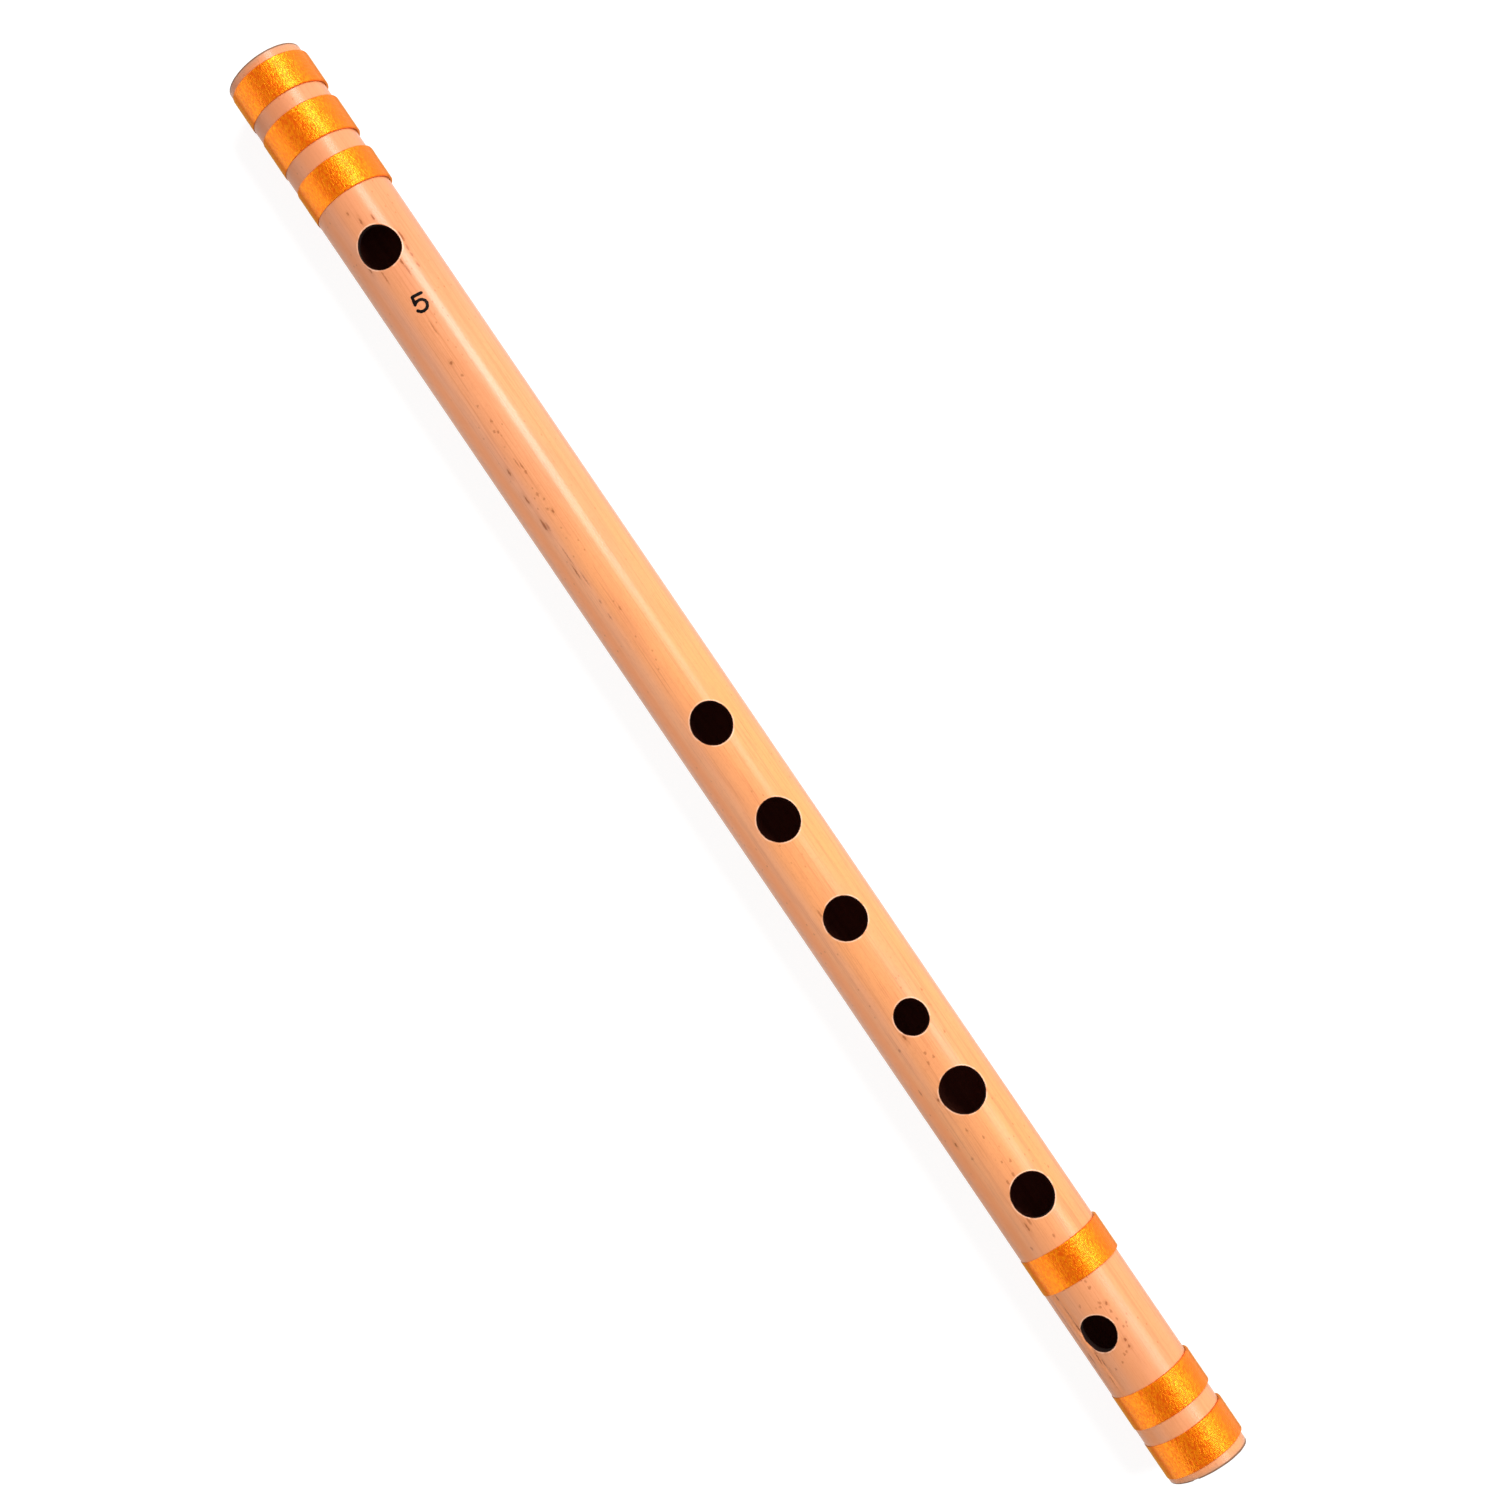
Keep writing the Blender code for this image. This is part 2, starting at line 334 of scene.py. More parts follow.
class TubeMesh:
    """The bamboo tube: a fine grid outside and inside, joined at the rims and at the holes."""

    def __init__(self):
        self.points = []
        self.normals = []
        self.edges = []
        self.from_ends = []
        self.faces = []
        step = 2 * (HALF_LENGTH - END_ROUNDING) / SPANS
        self.stations = [-HALF_LENGTH + END_ROUNDING + step * i for i in range(SPANS + 1)]
        self.angles = [-pi + 2 * pi * j / COLUMNS for j in range(COLUMNS)]
        self.patches = [self.patch(*hole) for hole in HOLES]
        self.outer = self.grid(inside=False)
        self.inner = self.grid(inside=True)
        self.skin_grids()
        for index, (hole, patch) in enumerate(zip(HOLES, self.patches)):
            self.join_hole(index, hole, patch)
        self.join_end(0, -1)
        self.join_end(SPANS, 1)

    def add(self, point, edge, normal=(0.0, 0.0, 0.0), from_end=None):
        """Adds a point. One on the skin has its true normal, the others are left to the mesh."""
        self.points.append(point)
        self.normals.append(normal)
        self.edges.append(edge)
        self.from_ends.append(HALF_LENGTH - abs(point[0]) if from_end is None else from_end)
        return len(self.points) - 1

    def add_skin(self, x, angle, edge):
        radius = outer_radius(x) + relief(x, angle)
        return self.add(on_ring(x, radius, angle), edge, skin_normal(x, angle))

    def patch(self, middle, half_length, half_width, lean):
        reach = half_length + PATCH_MARGIN_ALONG
        spread = asin((half_width + PATCH_MARGIN_ACROSS) / outer_radius(middle))
        step = 2 * pi / COLUMNS
        first = max(i for i, x in enumerate(self.stations) if x <= middle - reach)
        last = min(i for i, x in enumerate(self.stations) if x >= middle + reach)
        low = floor((radians(lean) - spread + pi) / step)
        high = ceil((radians(lean) + spread + pi) / step)
        return first, last, low, high

    def hole_distance(self, x, angle):
        """Rough distance from a point of the skin to the nearest hole's edge."""
        best = EDGE_FAR
        for middle, half_length, half_width, lean in HOLES:
            along = (x - middle) / half_length
            turn = angle - radians(lean)
            if abs(turn) < pi / 2 and abs(along) < 4:
                across = outer_radius(x) * sin(turn) / half_width
                distance = (hypot(along, across) - 1) * (half_length + half_width) / 2
                best = min(best, distance)
        return best

    def grid(self, inside):
        """Points of the skin or of the bore, apart from those that lie within a hole's patch."""
        ids = {}
        for i, x in enumerate(self.stations):
            for j, angle in enumerate(self.angles):
                if any(a < i < b and low < j < high for a, b, low, high in self.patches):
                    continue
                if inside:
                    place = Vector((x * BORE_WAVE_ALONG, cos(angle), sin(angle)))
                    radius = outer_radius(x) - WALL + BORE_WAVE_HEIGHT * noise.noise(place)
                    ids[i, j] = self.add(on_ring(x, radius, angle), EDGE_IN_BORE)
                else:
                    ids[i, j] = self.add_skin(x, angle, self.hole_distance(x, angle))
        return ids

    def skin_grids(self):
        for i in range(SPANS):
            for j in range(COLUMNS):
                if any(a <= i < b and low <= j < high for a, b, low, high in self.patches):
                    continue
                k = (j + 1) % COLUMNS
                for ids, outwards in ((self.outer, True), (self.inner, False)):
                    face = (ids[i, j], ids[i + 1, j], ids[i + 1, k], ids[i, k])
                    self.faces.append(face if outwards else face[::-1])

    def skin_loops(self, loops, flipped=False):
        """Joins loops of as many points each, of which the first lies outermost."""
        for wide, tight in zip(loops, loops[1:]):
            for n in range(len(wide)):
                m = (n + 1) % len(wide)
                face = (wide[n], wide[m], tight[m], tight[n])
                self.faces.append(face[::-1] if flipped else face)

    def join_hole(self, index, hole, patch):
        middle, half_length, half_width, lean = hole
        first, last, low, high = patch
        border = [(i, low) for i in range(first, last)]
        border += [(last, j) for j in range(low, high)]
        border += [(i, high) for i in range(last, first, -1)]
        border += [(first, j) for j in range(high, low, -1)]
        lean = radians(lean)
        turns = []
        for i, j in border:
            across = outer_radius(self.stations[i]) * sin(self.angles[j] - lean)
            turns.append(atan2(across / half_width, (self.stations[i] - middle) / half_length))

        def oval(growth):
            """The hole's outline, grown by so much, as places along the tube and across it."""
            for turn in turns:
                wander = sum(
                    far * ring_noise(turn, rate, index * step) for far, rate, step in HOLE_WANDERS
                )
                reach = growth + wander
                yield middle + (half_length + reach) * cos(turn), (half_width + reach) * sin(turn)

        def loop(growth, surface, edge):
            """One oval loop on a surface that gives a radius for a place and an angle."""
            ids = []
            for x, y in oval(growth):
                radius = surface(x, lean + asin(y / outer_radius(x)))
                ids.append(self.add(on_ring(x, radius, lean + asin(y / radius)), edge))
            return ids

        def skin(x, angle):
            return outer_radius(x) + relief(x, angle)

        def skin_loop(places, edge):
            return [self.add_skin(x, angle, edge) for x, angle in places]

        loops = [[self.outer[i, j] for i, j in border]]
        frame_places = [(self.stations[i], self.angles[j]) for i, j in border]
        ovals = [
            [(x, lean + asin(y / outer_radius(x))) for x, y in oval(growth)]
            for growth in SKIN_LOOPS
        ]
        for share in QUARTERS:
            between = [
                (far_x + (near_x - far_x) * share, far_angle + (near_angle - far_angle) * share)
                for (far_x, far_angle), (near_x, near_angle) in zip(frame_places, ovals[0])
            ]
            loops.append(skin_loop(between, EDGE_NEAR_HOLE))
        for growth, places in zip(SKIN_LOOPS, ovals):
            loops.append(skin_loop(places, growth))
        for n in range(LIP_STEPS + 1):
            bend = pi / 2 * n / LIP_STEPS
            growth = LIP * (1 - sin(bend))
            depth = LIP * (1 - cos(bend))
            loops.append(loop(growth, lambda x, angle: skin(x, angle) - depth, growth - depth))
        for depth in WALL_LOOPS:
            loops.append(loop(0.0, lambda x, angle: outer_radius(x) - depth, -depth))
        for growth, above, edge in BORE_LOOPS:
            loops.append(loop(growth, lambda x, angle: outer_radius(x) - WALL + above, edge))
        loops.append([self.inner[i, j] for i, j in border])
        self.skin_loops(loops)

    def join_end(self, station, side):
        """Rounds one rim over and closes it, sawn a little unevenly."""
        x = self.stations[station]
        outside = outer_radius(x)
        profile = []
        for n in range(1, END_STEPS + 1):
            bend = pi / 2 * n / END_STEPS
            profile.append((END_ROUNDING * sin(bend), outside - END_ROUNDING * (1 - cos(bend))))
        for share in QUARTERS:
            span = WALL - 2 * END_ROUNDING
            profile.append((END_ROUNDING, outside - END_ROUNDING - share * span))
        for n in range(END_STEPS):
            bend = pi / 2 * (1 - n / END_STEPS)
            inside = outside - WALL + END_ROUNDING * (1 - cos(bend))
            profile.append((END_ROUNDING * sin(bend), inside))
        nick_angle, nick_width, nick_depth = NICK
        rings = [[self.outer[station, j] for j in range(COLUMNS)]]
        for out, radius in profile:
            ring = []
            depth = (outside - radius) / WALL
            for angle in self.angles:
                saw = SAW_DEPTH * ring_noise(angle, SAW_RATE, side * SAW_SEED)
                chip = 0.0
                if side > 0:
                    across = (angle - radians(nick_angle)) * outside
                    fade = max(0.0, 1 - NICK_FADE * depth)
                    chip = nick_depth * exp(-((across / nick_width) ** 4)) * fade
                skin = relief(x, angle) * (1 - depth)
                cut = min(out, END_ROUNDING) / END_ROUNDING * (abs(saw) + chip)
                point = on_ring(x + side * (out - cut), radius + skin - 0.5 * chip, angle)
                edge = EDGE_ON_RIM if depth < RIM_SHARE else EDGE_IN_BORE
                from_end = END_ROUNDING - out - max(0.0, outside - radius - END_ROUNDING)
                ring.append(self.add(point, edge, from_end=from_end))
            rings.append(ring)
        rings.append([self.inner[station, j] for j in range(COLUMNS)])
        self.skin_loops(rings, flipped=side > 0)

    def build(self, name, material):
        piece = make_object(name, [slant(point) for point in self.points], self.faces, material)
        piece.data.normals_split_custom_set_from_vertices(self.normals)
        for label, values in (("hole_edge", self.edges), ("from_end", self.from_ends)):
            attribute = piece.data.attributes.new(label, "FLOAT", "POINT")
            attribute.data.foreach_set("value", values)
        return piece


def wind_binding(name, node, edge_shifts, uneven, build, material, seed):
    """A band of fine thread, wound close: every turn is a ridge that climbs along the band."""
    low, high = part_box(node)
    left, right = low.x / MM + edge_shifts[0], high.x / MM + edge_shifts[1]
    top = high.y / MM + build
    turns = round((right - left) / THREAD_PITCH)
    pitch = (right - left) / turns
    angles = [-pi + 2 * pi * m / WINDING_COLUMNS for m in range(WINDING_COLUMNS)]
    wave_height, wave_rate = EDGE_WAVE
    edge_waves = [wave_height * ring_noise(angle, wave_rate, seed) for angle in angles]
    wander_height, wander_rate, wander_change = TURN_WANDER
    swell_height, swell_rate, swell_change = TURN_SWELL
    last_row = turns * ROWS_PER_TURN
    points, rows = [], []
    for n in range(last_row + 1):
        x = left + (right - left) * (n / last_row)
        from_edge = min(x - left, right - x)
        shoulder = SHOULDER_DROP * max(0.0, 1 - from_edge / SHOULDER_WIDTH) ** 2
        row = []
        for angle, edge_wave in zip(angles, edge_waves):
            lay = (x - left) / pitch - angle / (2 * pi)
            wander = wander_height * ring_noise(angle, wander_rate, lay * wander_change + seed)
            hollow = THREAD_CREST * (1 - abs(cos(pi * (lay + wander))))
            turn = floor(lay + wander + 0.5)
            swell = swell_height * ring_noise(angle, swell_rate, turn * swell_change + seed)
            radius = top + uneven * sin(angle) - hollow - shoulder + swell - WINDING_SINK
            radius = max(radius, outer_radius(x) + LEAST_BUILD - hollow)
            row.append(len(points))
            points.append(on_ring(x + edge_wave, radius, angle))
        rows.append(row)
    seats = []
    for side in (left, right):
        ring = []
        for angle, edge_wave in zip(angles, edge_waves):
            ring.append(len(points))
            points.append(on_ring(side + edge_wave, outer_radius(side) + SEAT_GAP, angle))
        seats.append(ring)
    loops = rows + [seats[1], seats[0], rows[0]]
    return make_object(name, points, join_loops(loops), material)


def turn_cork(name, material):
    """The cork plug, pitted as natural cork is."""
    low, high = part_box("cork_stopper")
    left, right = low.x / MM, high.x / MM
    full = outer_radius((left + right) / 2) - WALL - CORK_CLEARANCE
    straight = right - left - 2 * CORK_CHAMFER
    profile = [(left, full * share) for share in CORK_RINGS]
    profile.append((left, full - CORK_CHAMFER))
    for n in range(CORK_SPANS + 1):
        profile.append((left + CORK_CHAMFER + straight * n / CORK_SPANS, full))
    profile.append((right, full - CORK_CHAMFER))
    profile += [(right, full * share) for share in reversed(CORK_RINGS)]
    pit_rate, pit_level, pit_depth = CORK_PITS
    grain_rate, grain_depth = CORK_GRAIN
    points, rings = [], []
    for x, radius in profile:
        ring = []
        for m in range(CORK_COLUMNS):
            place = Vector(on_ring(x, radius, 2 * pi * m / CORK_COLUMNS))
            pit = max(0.0, noise.noise(place * pit_rate) - pit_level) * pit_depth
            pit += grain_depth * noise.noise(place * grain_rate)
            inwards = place - Vector(((left + right) / 2, 0, 0))
            ring.append(len(points))
            points.append(tuple(place - inwards.normalized() * max(0.0, pit) * CORK_RELIEF))
        rings.append(ring)
    faces = join_loops(rings)
    for ring, turned in ((rings[0], True), (rings[-1], False)):
        centre = len(points)
        x = left if turned else right
        points.append((x, 0.0, 0.0))
        for m in range(CORK_COLUMNS):
            k = (m + 1) % CORK_COLUMNS
            faces.append((ring[m], ring[k], centre) if turned else (ring[k], ring[m], centre))
    return make_object(name, points, faces, material)


def ink_number(name, material):
    """A plain number in ink: thin strokes with round ends that follow the tube's skin."""
    points, faces = [], []
    segments = [pair for stroke in DIGIT_STROKES for pair in zip(stroke, stroke[1:])]
    turn = radians(DIGIT_TURN)
    step = INK_SLOPE_STEP
    ids = {}

    def ink_depth(u, v):
        """How far a place lies within the strokes, or below 0 how far outside them."""
        best = FAR_OFF
        for (ax, ay), (bx, by) in segments:
            dx, dy = bx - ax, by - ay
            share = ((u - ax) * dx + (v - ay) * dy) / (dx * dx + dy * dy)
            share = max(0.0, min(1.0, share))
            best = min(best, hypot(u - ax - share * dx, v - ay - share * dy))
        return STROKE_WIDTH / 2 - best

    def corner(i, j):
        """A corner of the grid, drawn to the strokes' outline where it lies outside."""
        if (i, j) in ids:
            return ids[i, j]
        u, v = -INK_REACH + i * INK_CELL, -INK_REACH + j * INK_CELL
        depth = ink_depth(u, v)
        for _ in range(3):
            if depth >= 0:
                break
            slope_u = (ink_depth(u + step, v) - ink_depth(u - step, v)) / (2 * step)
            slope_v = (ink_depth(u, v + step) - ink_depth(u, v - step)) / (2 * step)
            u, v = u - slope_u * depth, v - slope_v * depth
            depth = ink_depth(u, v)
        across = u * cos(turn) - v * sin(turn)
        up = u * sin(turn) + v * cos(turn)
        x = DIGIT_AT[0] - up
        angle = (DIGIT_AT[1] + across) / outer_radius(x)
        ids[i, j] = len(points)
        points.append(on_ring(x, outer_radius(x) + relief(x, angle) + INK_HEIGHT, angle))
        return ids[i, j]

    count = int(2 * INK_REACH / INK_CELL)
    for i in range(count):
        for j in range(count):
            u, v = -INK_REACH + (i + 0.5) * INK_CELL, -INK_REACH + (j + 0.5) * INK_CELL
            if ink_depth(u, v) > 0:
                corners = ((i, j), (i + 1, j), (i + 1, j + 1), (i, j + 1))
                faces.append(tuple(corner(*place) for place in corners))
    return make_object(name, points, faces, material)


class Graph:
    """A material's or the world's node tree. Calls add nodes and give an output of the last."""

    def __init__(self, tree):
        self.tree = tree
        self.tree.nodes.clear()

    def node(self, kind, inputs=None, output=0, **settings):
        """Adds a node and gives one of its outputs, or all of them where output is None."""
        node = self.tree.nodes.new(kind)
        for name, value in settings.items():
            setattr(node, name, value)
        for key, value in (inputs or {}).items():
            if isinstance(value, bpy.types.NodeSocket):
                self.tree.links.new(value, node.inputs[key])
            else:
                node.inputs[key].default_value = value
        return node.outputs if output is None or not node.outputs else node.outputs[output]

    def math(self, operation, *values, clamp=False):
        inputs = dict(enumerate(values))
        return self.node("ShaderNodeMath", inputs, operation=operation, use_clamp=clamp)

    def vector(self, operation, *values, output=0):
        inputs = dict(enumerate(values))
        return self.node("ShaderNodeVectorMath", inputs, output, operation=operation)

    def mix(self, factor, first, second):
        inputs = {0: factor, 6: first, 7: second}
        return self.node("ShaderNodeMix", inputs, 2, data_type="RGBA")

    def noise(self, vector, scale, detail=2.0, roughness=0.5):
        inputs = {"Vector": vector, "Scale": scale, "Detail": detail, "Roughness": roughness}
        return self.node("ShaderNodeTexNoise", inputs)

    def ramp(self, value, low, high, start=0.0, end=1.0):
        inputs = {0: value, 1: low, 2: high, 3: start, 4: end}
        settings = {"clamp": True, "interpolation_type": "SMOOTHSTEP"}
        return self.node("ShaderNodeMapRange", inputs, **settings)

    def point(self):
        """The point in millimetres from the tube's axis."""
        coordinates = self.node("ShaderNodeTexCoord", output=3)
        point = self.vector("MULTIPLY", coordinates, (1 / MM, 1 / MM, 1 / MM))
        return self.vector("SUBTRACT", point, (0.0, 0.0, AXIS_HEIGHT))

    def unroll(self, point):
        """A point's place along the tube, its arc around it, and both on a flat sheet."""
        along, y, z = self.node("ShaderNodeSeparateXYZ", {0: point}, None)
        around = self.math("MULTIPLY", self.math("ARCTAN2", y, z), ARC_RADIUS)
        return along, around, self.node("ShaderNodeCombineXYZ", {0: along, 1: around})

    def shader(self, **inputs):
        """The surface's shader, with its inputs named in lower case."""
        named = {}
        for key, value in inputs.items():
            named[key.replace("_", " ").title().replace("Ior", "IOR")] = value
        surface = self.node("ShaderNodeBsdfPrincipled", named)
        self.node("ShaderNodeOutputMaterial", {"Surface": surface})


def new_material(name):
    material = bpy.data.materials.new(name)
    material.use_nodes = True
    return material, Graph(material.node_tree)


def nearest_mark(graph, flat, marks):
    """How near a place is to a mark: 0 in the middle of one, 1 at its outline, more outside."""
    nearest = FAR_OFF
    for along, arc, half_length, half_width in marks:
        scale = (1 / half_length, 1 / half_width, 0.0)
        shift = (-along / half_length, -arc / half_width, 0.0)
        inside = graph.vector("MULTIPLY_ADD", flat, scale, shift)
        nearest = graph.math("MINIMUM", graph.vector("LENGTH", inside, output=1), nearest)
    return nearest


# Weight of the bamboo's thin coat of oil
COAT = 0.46

# Colours of the bamboo, as linear red, green and blue
ROSY = (0.765, 0.312, 0.153, 1)
GOLDEN = (0.90, 0.362, 0.121, 1)
CLOUD = (0.74, 0.27, 0.115, 1)
STREAK = (0.66, 0.225, 0.085, 1)
FIBRE = (0.56, 0.18, 0.065, 1)
STAIN = (0.50, 0.155, 0.045, 1)
SOFT_MARK = (0.30, 0.060, 0.010, 1)
DARK_MARK = (0.25, 0.052, 0.012, 1)
SPECK = (0.36, 0.085, 0.012, 1)
# Painted highlight: a pale line along the holes' edges
RIM_HIGHLIGHT = (1.0, 0.62, 0.42, 1)
CHAR = (0.012, 0.0035, 0.002, 1)
# The bore's colours are painted shade, darker than bare cane
BORE_DARK = (0.13, 0.030, 0.018, 1)
BORE_LIGHT = (0.26, 0.075, 0.045, 1)
RIM = (0.13, 0.065, 0.035, 1)
GRUBBY = (0.46, 0.25, 0.16, 1)
# Painted light: a brighter strip down the left flank
LIT_LEFT_FLANK = (1.0, 0.350, 0.125, 1)
HEAD_TONE = (0.63, 0.225, 0.098, 1)
FOOT_TONE = (0.76, 0.285, 0.100, 1)
# Painted shade: darker low on both sides and below
SHADE_LOW_AND_BELOW = (0.56, 0.22, 0.090, 1)
GRAIN_PALE = (0.78, 0.46, 0.24, 1)
GRAIN_DEEP = (0.62, 0.33, 0.16, 1)
BUNDLE = (0.30, 0.13, 0.05, 1)

# Colours of the thread: in the hollows and on the crests of its ripples, as painted shade and
# light, painted shade on its right side and below, and in the glints at a low angle
THREAD_ORANGE_IN_SHADE = (0.92, 0.078, 0.001, 1)
THREAD_ORANGE_IN_LIGHT = (1.0, 0.205, 0.001, 1)
# Painted shade on the thread's right side
THREAD_RIGHT_SHADE = (1.0, 0.092, 0.001, 1)
# Painted shade low on the thread
THREAD_SHADE_BELOW = (0.40, 0.036, 0.001, 1)
THREAD_GLINT = (1.0, 0.94, 0.050, 1)

# Colours of the cork and of the ink
CORK_DEEP = (0.30, 0.15, 0.06, 1)
CORK_PALE = (0.55, 0.33, 0.16, 1)
CORK_PORE = (0.10, 0.04, 0.015, 1)
INK_BLACK = (0.003, 0.002, 0.002, 1)
INK_WORN = (0.016, 0.007, 0.005, 1)


def make_bamboo():
    material, graph = new_material("bamboo_skin")
    point = graph.point()
    along, around, flat = graph.unroll(point)

    def stretched(long_scale, cross_scale, detail=2.0, roughness=0.5):
        vector = graph.vector("MULTIPLY", point, (long_scale, cross_scale, cross_scale))
        return graph.noise(vector, 1.0, detail, roughness)

    def attribute(name):
        settings = {"attribute_type": "GEOMETRY", "attribute_name": name}
        return graph.node("ShaderNodeAttribute", output=2, **settings)

    def both(first, second):
        return graph.math("MULTIPLY", first, second)

    def lay(colour, mask, strength, over):
        """Lays a colour over another one, where the mask is 1 and as strongly as given."""
        return graph.mix(both(mask, strength), colour, over)

    # Tone of the cane: rosy near its ends and golden in the middle; rosy on the left and golden on
    # the right, which is painted light
    middle = both(graph.ramp(along, -95.0, -25.0), graph.ramp(along, 160.0, 100.0))
    golden = graph.math("MULTIPLY_ADD", middle, 0.50, both(graph.ramp(around, -5.0, 7.0), 0.40))
    drift = graph.math("MULTIPLY_ADD", stretched(0.016, 0.11, 3.0), 1.2, -0.55)
    colour = graph.mix(graph.math("ADD", golden, drift, clamp=True), ROSY, GOLDEN)

    # Clouds, streaks, fibres and mottle of the skin
    colour = lay(colour, graph.ramp(stretched(0.05, 0.25, 3.0, 0.6), 0.46, 0.72), 0.40, CLOUD)
    colour = lay(colour, graph.ramp(stretched(0.012, 1.3, 3.0, 0.6), 0.50, 0.72), 0.48, STREAK)
    colour = lay(colour, graph.ramp(stretched(0.07, 3.6, 2.0, 0.6), 0.50, 0.75), 0.50, FIBRE)
    colour = lay(colour, graph.ramp(stretched(1.1, 2.6, 2.0, 0.6), 0.45, 0.75), 0.30, STREAK)

    # Brighter strip down the left flank, painted light; darker left halves towards both ends;
    # and painted shade low on both sides and across the underside
    left_half = graph.ramp(around, 3.0, -2.0)
    colour = lay(colour, graph.ramp(around, -6.4, -9.2), 0.85, LIT_LEFT_FLANK)
    colour = lay(colour, both(graph.ramp(along, -150.0, -190.0), left_half), 0.96, HEAD_TONE)
    colour = lay(colour, graph.ramp(along, -105.0, -150.0), 0.42, HEAD_TONE)
    colour = lay(colour, both(graph.ramp(along, 95.0, 150.0), left_half), 0.35, FOOT_TONE)
    # Painted shade low on both sides and below
    colour = lay(colour, graph.ramp(around, -10.4, -12.2), 0.48, SHADE_LOW_AND_BELOW)
    colour = lay(colour, graph.ramp(around, 10.9, 12.5), 0.50, SHADE_LOW_AND_BELOW)

    # Marks and specks, with uneven edges and faint stains around the dark ones
    warp = graph.node("ShaderNodeTexNoise", {"Vector": point, "Scale": 2.2, "Detail": 3.0}, 1)
    warp = graph.vector("SUBTRACT", warp, (0.5, 0.5, 0.5))
    torn = graph.vector("ADD", flat, graph.vector("MULTIPLY", warp, (1.3, 0.50, 0.0)))
    near_dark = nearest_mark(graph, torn, DARK_MARKS)
    near_soft = nearest_mark(graph, torn, SOFT_MARKS)
    near_groove_shadow = nearest_mark(graph, torn, GROOVE_SHADOW_MARKS)
    dark = graph.ramp(near_dark, 1.35, 0.45)
    groove = graph.ramp(near_groove_shadow, 1.35, 0.45)
    near_any = graph.math("MINIMUM", near_dark, near_groove_shadow)
    colour = lay(colour, graph.ramp(near_any, 3.4, 0.8), 0.30, STAIN)
    colour = lay(colour, graph.ramp(near_soft, 1.45, 0.40), 0.52, SOFT_MARK)
    colour = lay(colour, dark, 0.68, DARK_MARK)
    # Painted shadow in the groove
    colour = lay(colour, groove, 0.72, DARK_MARK)
    cells = graph.node("ShaderNodeTexVoronoi", {
        "Vector": graph.vector("MULTIPLY", flat, (0.42, 0.62, 1.0)), "Scale": 1.0,
    }, None, voronoi_dimensions="2D")
    chance = graph.node("ShaderNodeSeparateColor", {0: cells["Color"]})
    chosen = graph.math("GREATER_THAN", chance, 0.78)
    speck = both(graph.ramp(cells["Distance"], 0.17, 0.05), chosen)
    region = graph.ramp(stretched(0.03, 0.12), 0.48, 0.60)
    colour = lay(colour, both(speck, region), 0.45, SPECK)

    # Edges of the holes: here and there a thin pale line painted as a highlight, then char, then
    # the bore, painted dark as shade
    edge = attribute("hole_edge")
    ragged = graph.math("MULTIPLY_ADD", graph.noise(point, 1.6, 3.0), 0.20, -0.10)
    edge = graph.math("ADD", edge, ragged)
    patchy = graph.ramp(graph.noise(point, 0.45, 1.0), 0.30, 0.55)
    colour = lay(colour, both(graph.ramp(edge, 0.58, 0.34), patchy), 0.62, RIM_HIGHLIGHT)
    colour = lay(colour, graph.ramp(edge, 0.30, 0.10), 0.55, SOFT_MARK)
    char = graph.ramp(edge, 0.17, 0.02)
    colour = graph.mix(char, colour, CHAR)
    # The bore is painted dark as shade
    bore = graph.ramp(edge, -2.0, -3.2)
    painted_bore_shade = graph.mix(stretched(0.05, 0.8, 3.0), BORE_DARK, BORE_LIGHT)
    colour = graph.mix(bore, colour, painted_bore_shade)

    # Sawn ends: pale wood with dark bundles, and a worn rim
    from_end = attribute("from_end")
    worn_rim = graph.math("MULTIPLY_ADD", graph.noise(point, 0.8, 3.0, 0.6), 1.0, -0.5)
    grubby = graph.ramp(graph.math("ADD", from_end, both(worn_rim, 2.4)), 1.7, 0.3)
    colour = lay(colour, graph.math("SUBTRACT", grubby, char, clamp=True), 0.55, GRUBBY)
    rim = graph.math("ABSOLUTE", graph.math("SUBTRACT", from_end, 0.20))
    rim = both(graph.ramp(rim, 0.40, 0.16), 0.80)
    ends = both(graph.ramp(from_end, 0.04, -0.10), graph.ramp(edge, 0.5, 2.0))
    bundles = graph.node("ShaderNodeTexVoronoi", {"Vector": point, "Scale": 1.7})
    grain = graph.mix(graph.noise(point, 1.2, 3.0), GRAIN_PALE, GRAIN_DEEP)
    grain = lay(grain, graph.ramp(bundles, 0.36, 0.14), 0.75, BUNDLE)
    colour = graph.mix(ends, colour, grain)
    colour = graph.mix(rim, colour, RIM)

    # Gloss: oiled skin, duller where it is charred, sawn or marked
    bare = graph.math("MAXIMUM", char, ends)
    bare = graph.math("MAXIMUM", bare, graph.math("MAXIMUM", bore, rim))
    dull = graph.math("MAXIMUM", bare, both(graph.math("MAXIMUM", dark, groove), 0.7))
    worn = graph.math("MULTIPLY_ADD", stretched(0.02, 0.9, 3.0), 0.18, 0.34)
    rough = graph.math("MULTIPLY_ADD", dull, 0.45, worn, clamp=True)
    oil = graph.math("MULTIPLY_ADD", graph.ramp(along, 78.0, 104.0), -0.50 * COAT, COAT)
    head_end = graph.ramp(along, -115.0, -175.0)
    oil = graph.math("MULTIPLY_ADD", head_end, -0.40 * COAT, oil)
    oil = graph.math("MULTIPLY", graph.math("SUBTRACT", 1.0, dull), oil, clamp=True)

